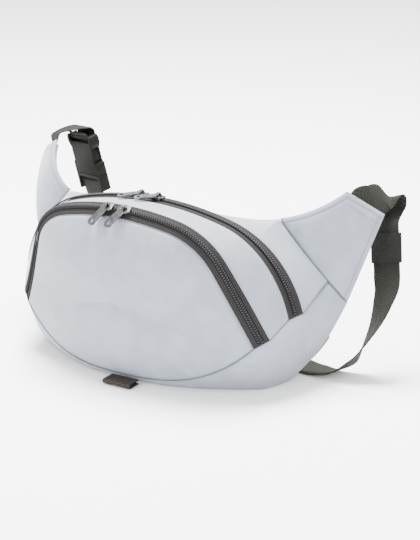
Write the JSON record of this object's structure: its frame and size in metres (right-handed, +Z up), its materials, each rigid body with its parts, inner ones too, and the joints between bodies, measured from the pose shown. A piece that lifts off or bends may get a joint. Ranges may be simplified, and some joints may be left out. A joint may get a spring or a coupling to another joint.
{
  "type": "waist bag",
  "caption": "Waist bag with two arched zip compartments, hip wings, gear loop and webbing belt with side-release buckle.",
  "frame": {"origin": "middle of the flat base, in the plane it stands on", "axes": "+Z up, +X towards the wing without the buckle, +Y out of the back towards the wearer; the front panel faces -Y"},
  "size_m": [0.4023, 0.2148, 0.1855],
  "materials": {
    "polyester": "matte fine plain weave, pale blue grey",
    "lining": "thin plain weave",
    "mesh": "air mesh over foam",
    "foam": "soft open foam, hidden",
    "tape": "dark grey woven zip tape",
    "coil": "dark grey nylon coil",
    "webbing": "coarse ribbed webbing, olive grey",
    "loop_webbing": "dark webbing",
    "elastic": "smooth elastic, olive grey",
    "buckle_plastic": "satin moulded, dark olive grey",
    "metal": "silver grey zinc, satin"
  },
  "bodies": {
    "bag": {"front_panel": "polyester", "front_zip_lower_tape": "tape", "front_zip_upper_tape": "tape", "pocket_gusset": "polyester", "main_zip_front_tape": "tape", "main_zip_rear_tape": "tape", "rear_gusset": "polyester", "base_band": "polyester", "front_zip_coil": "coil", "main_zip_coil": "coil", "back_lining": "lining", "back_foam": "foam", "back_panel": "mesh", "pocket_divider": "lining", "right_wing_panel": "polyester", "right_wing_foam": "foam", "right_wing_backing": "mesh", "left_wing_panel": "polyester", "left_wing_foam": "foam", "left_wing_backing": "mesh", "buckle_socket": "buckle_plastic", "belt_webbing": "webbing", "left_webbing": "webbing", "gear_loop": "loop_webbing"},
    "front_left_slider": {"front_left_slider": "metal"},
    "front_left_pull": {"front_left_pull": "metal"},
    "front_right_slider": {"front_right_slider": "metal"},
    "front_right_pull": {"front_right_pull": "metal"},
    "main_left_slider": {"main_left_slider": "metal"},
    "main_left_pull": {"main_left_pull": "metal"},
    "main_right_slider": {"main_right_slider": "metal"},
    "main_right_pull": {"main_right_pull": "metal"},
    "buckle_plug": {"buckle_plug": "buckle_plastic", "adjuster_webbing": "webbing"},
    "right_prong": {"right_prong": "buckle_plastic"},
    "left_prong": {"left_prong": "buckle_plastic"},
    "strap_keeper": {"strap_keeper": "elastic"}
  },
  "joints": [
    {"name": "front_left_slide_along", "type": "hinge", "parent": "bag", "child": "front_left_slider", "pos_m": [0, 0.01124, -0.08359], "axis": [0, -0.9744, -0.225], "range_deg": [0, 9.5]},
    {"name": "front_left_pull_lift", "type": "hinge", "parent": "front_left_slider", "child": "front_left_pull", "pos_m": [-0.00917, -0.04785, 0.16416], "axis": [-0.9994, 0.0081, -0.0351], "range_deg": [0, 150]},
    {"name": "front_right_slide_along", "type": "hinge", "parent": "bag", "child": "front_right_slider", "pos_m": [0, 0.01124, -0.08359], "axis": [0, 0.9744, 0.225], "range_deg": [0, 9.5]},
    {"name": "front_right_pull_lift", "type": "hinge", "parent": "front_right_slider", "child": "front_right_pull", "pos_m": [0.00917, -0.04785, 0.16416], "axis": [-0.9994, -0.0081, 0.0351], "range_deg": [0, 150]},
    {"name": "main_left_slide_along", "type": "hinge", "parent": "bag", "child": "main_left_slider", "pos_m": [0, 0.03227, -0.1309], "axis": [0, -0.9962, -0.0872], "range_deg": [0, 13]},
    {"name": "main_left_pull_lift", "type": "hinge", "parent": "main_left_slider", "child": "main_left_pull", "pos_m": [-0.00916, 0.00683, 0.16306], "axis": [-0.9995, 0.0027, -0.0309], "range_deg": [0, 150]},
    {"name": "main_right_slide_along", "type": "hinge", "parent": "bag", "child": "main_right_slider", "pos_m": [0, 0.03227, -0.1309], "axis": [0, 0.9962, 0.0872], "range_deg": [0, 13]},
    {"name": "main_right_pull_lift", "type": "hinge", "parent": "main_right_slider", "child": "main_right_pull", "pos_m": [0.00916, 0.00683, 0.16306], "axis": [-0.9995, -0.0027, 0.0309], "range_deg": [0, 150]},
    {"name": "plug_pull_out", "type": "slide", "parent": "bag", "child": "buckle_plug", "axis": [0.1203, 0.2005, -0.9723], "range_m": [0, 0.028]},
    {"name": "right_prong_squeeze", "type": "hinge", "parent": "buckle_plug", "child": "right_prong", "pos_m": [-0.13681, 0.11751, 0.13787], "axis": [-0.278, -0.9334, -0.2268], "range_deg": [0, 7], "stiffness_Nm_per_rad": 1.5},
    {"name": "left_prong_squeeze", "type": "hinge", "parent": "buckle_plug", "child": "left_prong", "pos_m": [-0.16121, 0.12513, 0.13643], "axis": [0.278, 0.9334, 0.2268], "range_deg": [0, 7], "stiffness_Nm_per_rad": 1.5},
    {"name": "keeper_slide", "type": "slide", "parent": "bag", "child": "strap_keeper", "axis": [0.1822, -0.2513, -0.9506], "range_m": [-0.005, 0.009]}
  ]
}
